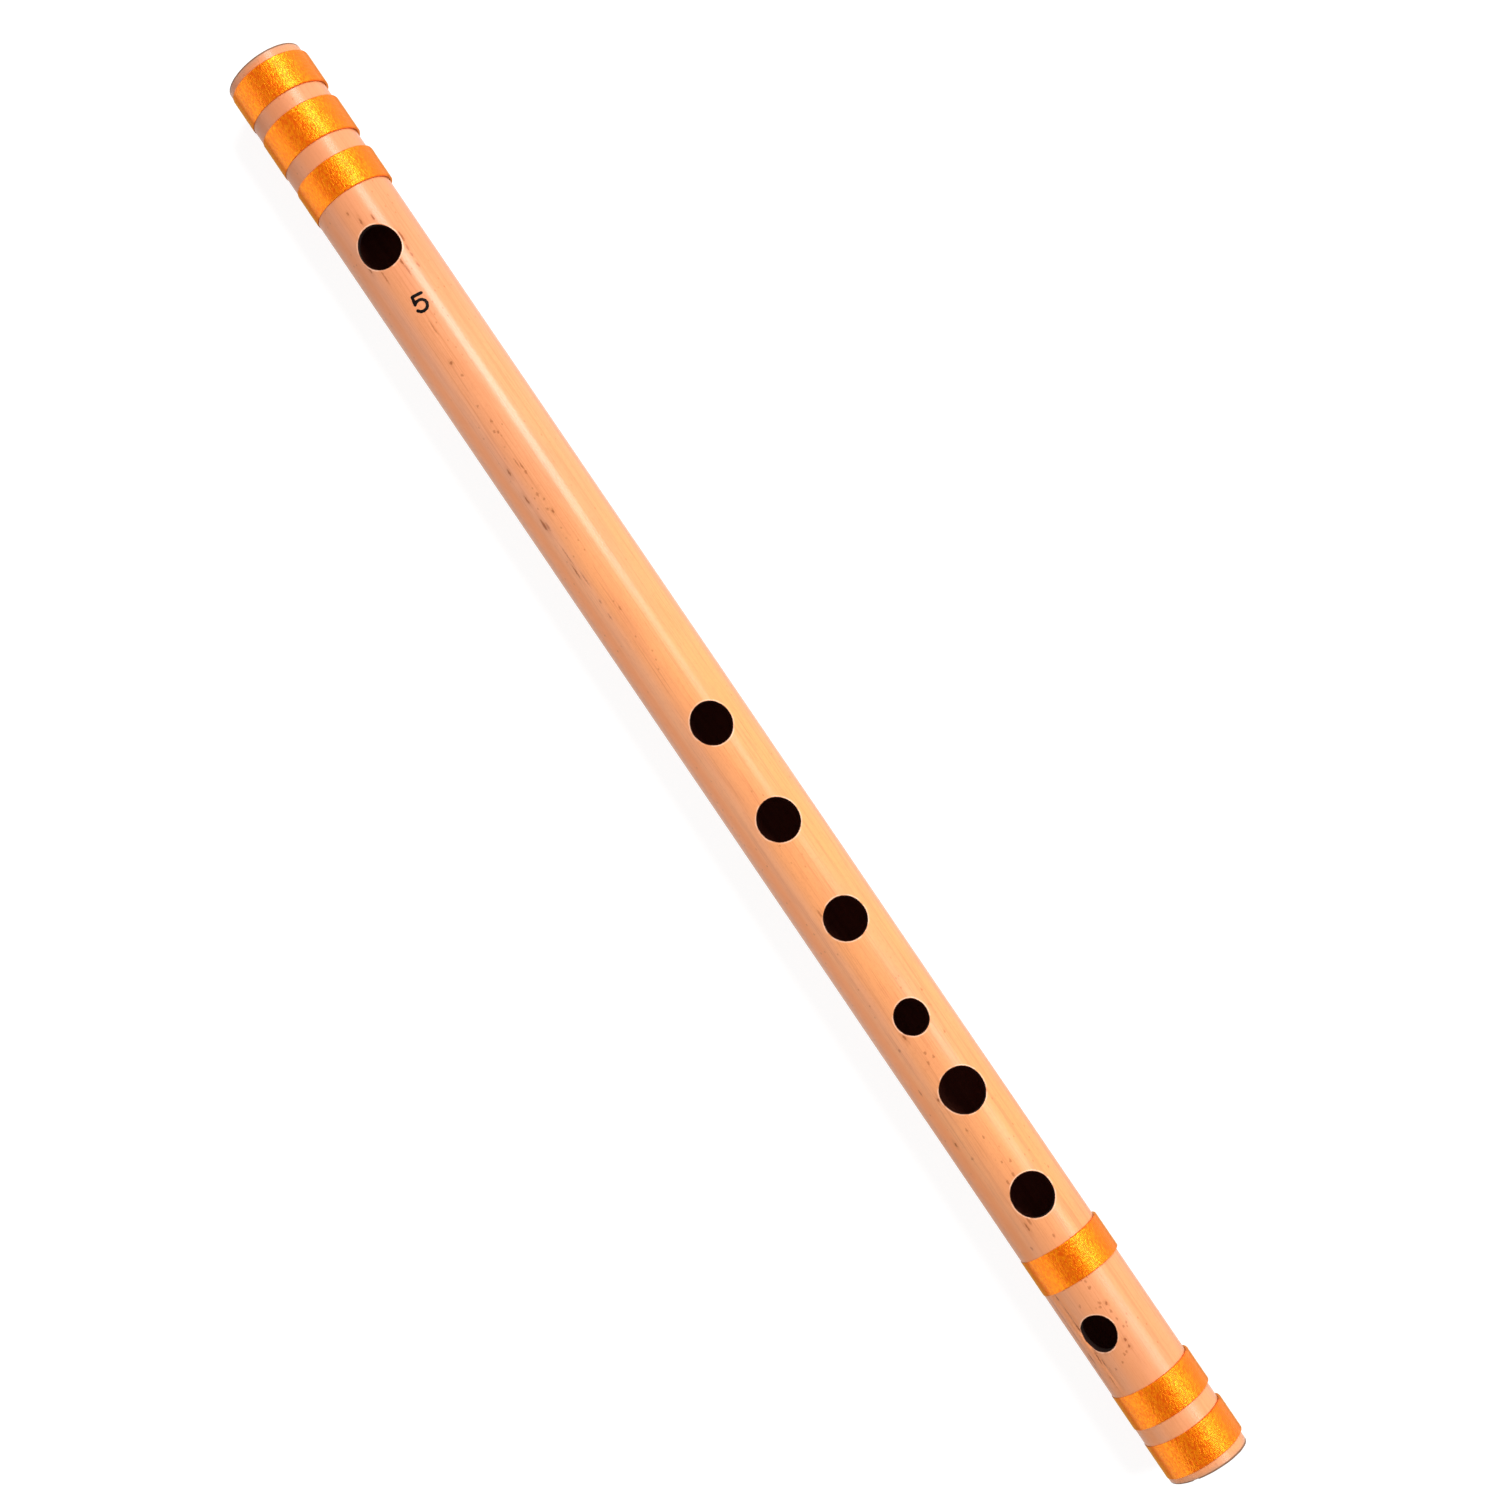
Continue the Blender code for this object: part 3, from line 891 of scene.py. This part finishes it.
    # Relief: fibres along the skin, pits at the marks
    height = both(stretched(0.06, 5.0, 3.0, 0.6), 0.7)
    height = graph.math("ADD", height, both(stretched(0.012, 1.3, 3.0), 0.7))
    height = graph.math("SUBTRACT", height, both(dull, 0.5))
    height = graph.math("ADD", height, both(graph.noise(point, 3.0, 4.0), both(dull, 1.5)))
    bump = graph.node("ShaderNodeBump", {"Height": height, "Strength": 0.40, "Distance": 0.00012})
    graph.shader(
        base_color=colour, roughness=rough, normal=bump, specular_ior_level=0.2,
        coat_weight=oil, coat_roughness=0.20,
    )
    return material


def make_thread():
    material, graph = new_material("silk_thread")
    along, around, flat = graph.unroll(graph.point())

    # Fine silk glints in short wavy lines that run across its turns, a little askew. The ripples
    # also paint the thread darker in their hollows and lighter on their crests, as shade and light
    askew = graph.math("MULTIPLY_ADD", along, 0.17, around)
    across = {0: graph.math("MULTIPLY", along, 0.90), 1: graph.math("MULTIPLY", askew, 2.8)}
    ripple = graph.node("ShaderNodeTexNoise", {
        "Vector": graph.node("ShaderNodeCombineXYZ", across),
        "Scale": 1.0, "Detail": 1.0, "Roughness": 0.5, "Distortion": 0.9,
    })
    fine = graph.noise(graph.vector("MULTIPLY", flat, (7.0, 4.0, 1.0)), 1.0, 2.0)
    colour = graph.mix(graph.ramp(ripple, 0.38, 0.62), THREAD_ORANGE_IN_SHADE, THREAD_ORANGE_IN_LIGHT)

    # Painted shade: redder on the right side and darker below, where it also is more metallic
    flank = graph.ramp(around, 6.2, 10.2)
    colour = graph.mix(graph.math("MULTIPLY", flank, 0.75), colour, THREAD_RIGHT_SHADE)
    # Painted shade low on both sides of the thread
    below_left = graph.math("MULTIPLY", graph.ramp(around, -9.4, -11.6), 0.85)
    below_right = graph.math("MULTIPLY", graph.ramp(around, 11.4, 13.6), 0.60)
    shaded = graph.math("MAXIMUM", below_left, below_right)
    colour = graph.mix(shaded, colour, THREAD_SHADE_BELOW)
    metal = graph.math("MULTIPLY_ADD", shaded, 0.6, 0.42, clamp=True)
    rough = graph.math("MULTIPLY_ADD", fine, 0.10, 0.27)
    height = graph.math("MULTIPLY_ADD", fine, 0.15, ripple)
    bump = graph.node("ShaderNodeBump", {"Height": height, "Strength": 1.0, "Distance": 0.00010})
    tangent = graph.node("ShaderNodeTangent", direction_type="RADIAL", axis="X")
    graph.shader(
        base_color=colour, metallic=metal, roughness=rough, normal=bump, tangent=tangent,
        anisotropic=0.3, ior=2.5, specular_tint=THREAD_GLINT, coat_weight=0.08, coat_roughness=0.24,
    )
    return material


def make_cork():
    material, graph = new_material("natural_cork")
    point = graph.point()
    grain = graph.noise(point, 0.9, 5.0, 0.65)
    colour = graph.mix(graph.ramp(grain, 0.35, 0.65), CORK_DEEP, CORK_PALE)
    cells = {"Vector": graph.vector("MULTIPLY", point, (0.5, 1.1, 1.1)), "Scale": 1.0}
    pores = graph.ramp(graph.node("ShaderNodeTexVoronoi", cells), 0.24, 0.08)
    colour = graph.mix(graph.math("MULTIPLY", pores, 0.8), colour, CORK_PORE)
    rough = graph.math("MULTIPLY_ADD", grain, 0.15, 0.75)
    height = graph.math("SUBTRACT", grain, pores)
    bump = graph.node("ShaderNodeBump", {"Height": height, "Strength": 0.6, "Distance": 0.0003})
    graph.shader(base_color=colour, roughness=rough, normal=bump)
    return material


def make_ink():
    material, graph = new_material("black_ink")
    worn = graph.noise(graph.point(), 2.4, 4.0, 0.6)
    colour = graph.mix(graph.ramp(worn, 0.50, 0.78), INK_BLACK, INK_WORN)
    rough = graph.math("MULTIPLY_ADD", worn, 0.2, 0.4)
    bump = graph.node("ShaderNodeBump", {"Height": worn, "Strength": 0.2, "Distance": 0.00005})
    graph.shader(base_color=colour, roughness=rough, normal=bump, specular_ior_level=0.1)
    return material


# Floor: what it scatters, what is added to bring it to white for whatever looks at it,
# how far it reaches, and how little it lies below the flute
FLOOR_GREY = (0.25, 0.25, 0.25, 1)
FLOOR_LIFT = 0.88
FLOOR_REACH = 6.0
FLOOR_SINK = 0.0002


def seen_rays(graph):
    """1 for rays that look at the backdrop, also mirrored or through glass, and 0 for others."""
    path = graph.node("ShaderNodeLightPath", output=None)
    seen = graph.math("MAXIMUM", path["Is Camera Ray"], path["Is Glossy Ray"])
    return graph.math("MAXIMUM", seen, path["Is Transmission Ray"])


def make_floor():
    """White paper: lit by the lamps for the object, and lifted to white for what looks at it."""
    material, graph = new_material("white_paper")
    point = graph.node("ShaderNodeTexCoord", output=3)
    tooth = graph.noise(point, 900.0, 3.0)
    bump = graph.node("ShaderNodeBump", {"Height": tooth, "Strength": 0.1, "Distance": 0.0002})
    paper = graph.node("ShaderNodeBsdfDiffuse", {"Color": FLOOR_GREY, "Normal": bump})
    glow = graph.node("ShaderNodeEmission", {"Color": (1, 1, 1, 1), "Strength": FLOOR_LIFT})
    lifted = graph.node("ShaderNodeAddShader", {0: paper, 1: glow})
    surface = graph.node("ShaderNodeMixShader", {0: seen_rays(graph), 1: paper, 2: lifted})
    graph.node("ShaderNodeOutputMaterial", {"Surface": surface})
    return material


# Radiance of the studio: overhead, to the left (-Y), to the right (+Y) and low along the horizon,
# and the directions between which each wall and the horizon fade in
OVERHEAD = 0.22
LEFT_WALL = 2.10
LEFT_WALL_FADE = (-0.72, -0.84)
RIGHT_WALL = 1.12
RIGHT_WALL_FADE = (0.76, 0.88)
HORIZON = 0.28
HORIZON_FADE = (0.35, 0.05)

# Soft boxes around the flute: name, start and end in metres, width and watts
STRIPS = (
    ("key_head", (-0.95, 0.60, 0.87), (-0.24, 0.60, 0.87), 0.38, 11.8),
    ("key_middle", (-0.24, 0.59, 0.88), (0.00, 0.62, 0.86), 0.30, 1.2),
    ("key_low", (0.00, 0.63, 0.85), (0.18, 0.66, 0.83), 0.30, 0.12),
    ("key_foot", (0.18, 0.76, 0.74), (0.64, 0.78, 0.72), 0.28, 4.0),
    ("fill_foot", (0.18, 0.58, 0.89), (0.64, 0.62, 0.85), 0.28, 3.2),
)


def make_world():
    """A dim ceiling between two pale walls, and a horizon that is white to whatever looks at it."""
    world = bpy.data.worlds.new("studio")
    world.use_nodes = True
    bpy.context.scene.world = world
    graph = Graph(world.node_tree)
    direction = graph.node("ShaderNodeTexCoord", output=0)
    across, up = graph.node("ShaderNodeSeparateXYZ", {0: direction}, None)[1:]
    left = graph.ramp(across, *LEFT_WALL_FADE, 0.0, LEFT_WALL - OVERHEAD)
    right = graph.ramp(across, *RIGHT_WALL_FADE, 0.0, RIGHT_WALL - OVERHEAD)
    walls = graph.math("ADD", graph.math("ADD", left, right), OVERHEAD)
    white = graph.math("MULTIPLY_ADD", seen_rays(graph), 1 - HORIZON, HORIZON)
    horizon = graph.math("MULTIPLY", graph.ramp(up, *HORIZON_FADE), white)
    light = graph.math("MAXIMUM", walls, horizon)
    background = graph.node("ShaderNodeBackground", {"Color": (1, 1, 1, 1), "Strength": light})
    graph.node("ShaderNodeOutputWorld", {"Surface": background})


def add_strip(name, start, end, width, watts):
    """A long soft box between two points, in metres, that faces the flute."""
    start, end = Vector(start), Vector(end)
    middle = (start + end) / 2
    data = bpy.data.lights.new(name, "AREA")
    data.shape = "RECTANGLE"
    data.size = (end - start).length
    data.size_y = width
    data.energy = watts
    lamp = bpy.data.objects.new(name, data)
    COLLECTION.objects.link(lamp)
    along = (end - start).normalized()
    back = (middle - Vector((middle.x, 0, 0))).normalized()
    side = back.cross(along).normalized()
    back = along.cross(side).normalized()
    turn = Matrix((along, side, back)).transposed()
    lamp.matrix_world = Matrix.Translation(middle) @ turn.to_4x4()
    lamp.visible_camera = False


def add_camera():
    data = bpy.data.cameras.new("camera")
    data.lens = CAMERA_LENS
    data.sensor_width = SENSOR_WIDTH
    camera = bpy.data.objects.new("camera", data)
    COLLECTION.objects.link(camera)
    about_x, about_y, about_z = (
        Matrix.Rotation(radians(turn), 3, axis) for turn, axis in zip(CAMERA_TURNS, "XYZ")
    )
    into_view = about_z @ about_y @ about_x
    place = Vector(CAMERA_PLACE) * MM + Vector((0, 0, AXIS_HEIGHT * MM))
    camera.matrix_world = Matrix.Translation(place) @ into_view.transposed().to_4x4()
    bpy.context.scene.camera = camera


def add_floor():
    mesh = bpy.data.meshes.new("floor")
    square = ((-1, -1), (1, -1), (1, 1), (-1, 1))
    corners = [(FLOOR_REACH * x, FLOOR_REACH * y, 0) for x, y in square]
    mesh.from_pydata(corners, [], [(0, 1, 2, 3)])
    mesh.materials.append(make_floor())
    floor_object = bpy.data.objects.new("floor", mesh)
    floor_object.location.z = -FLOOR_SINK
    COLLECTION.objects.link(floor_object)
    floor_object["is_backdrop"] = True


def dress_flute():
    bamboo = make_bamboo()
    thread = make_thread()
    tube = TubeMesh().build("bamboo_body", bamboo)
    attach(tube, "flute")
    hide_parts("bamboo_tube")
    for seed, (node, left_shift, right_shift, uneven, build) in enumerate(WINDINGS):
        name = node.replace("binding", "winding")
        shifts = (left_shift, right_shift)
        winding = wind_binding(name, node, shifts, uneven, build, thread, seed * SEED_STEP)
        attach(winding, "flute")
        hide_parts(node)
    cork = turn_cork("cork_plug", make_cork())
    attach(cork, "stopper")
    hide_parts("cork_stopper")
    number = ink_number("ink_number", make_ink())
    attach(number, "flute")


add_camera()
dress_flute()
add_floor()
make_world()
for strip in STRIPS:
    add_strip(*strip)

bpy.context.scene.view_settings.view_transform = "Standard"
[[list(corner) for corner in box] for box in (CAD_BOX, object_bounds())]
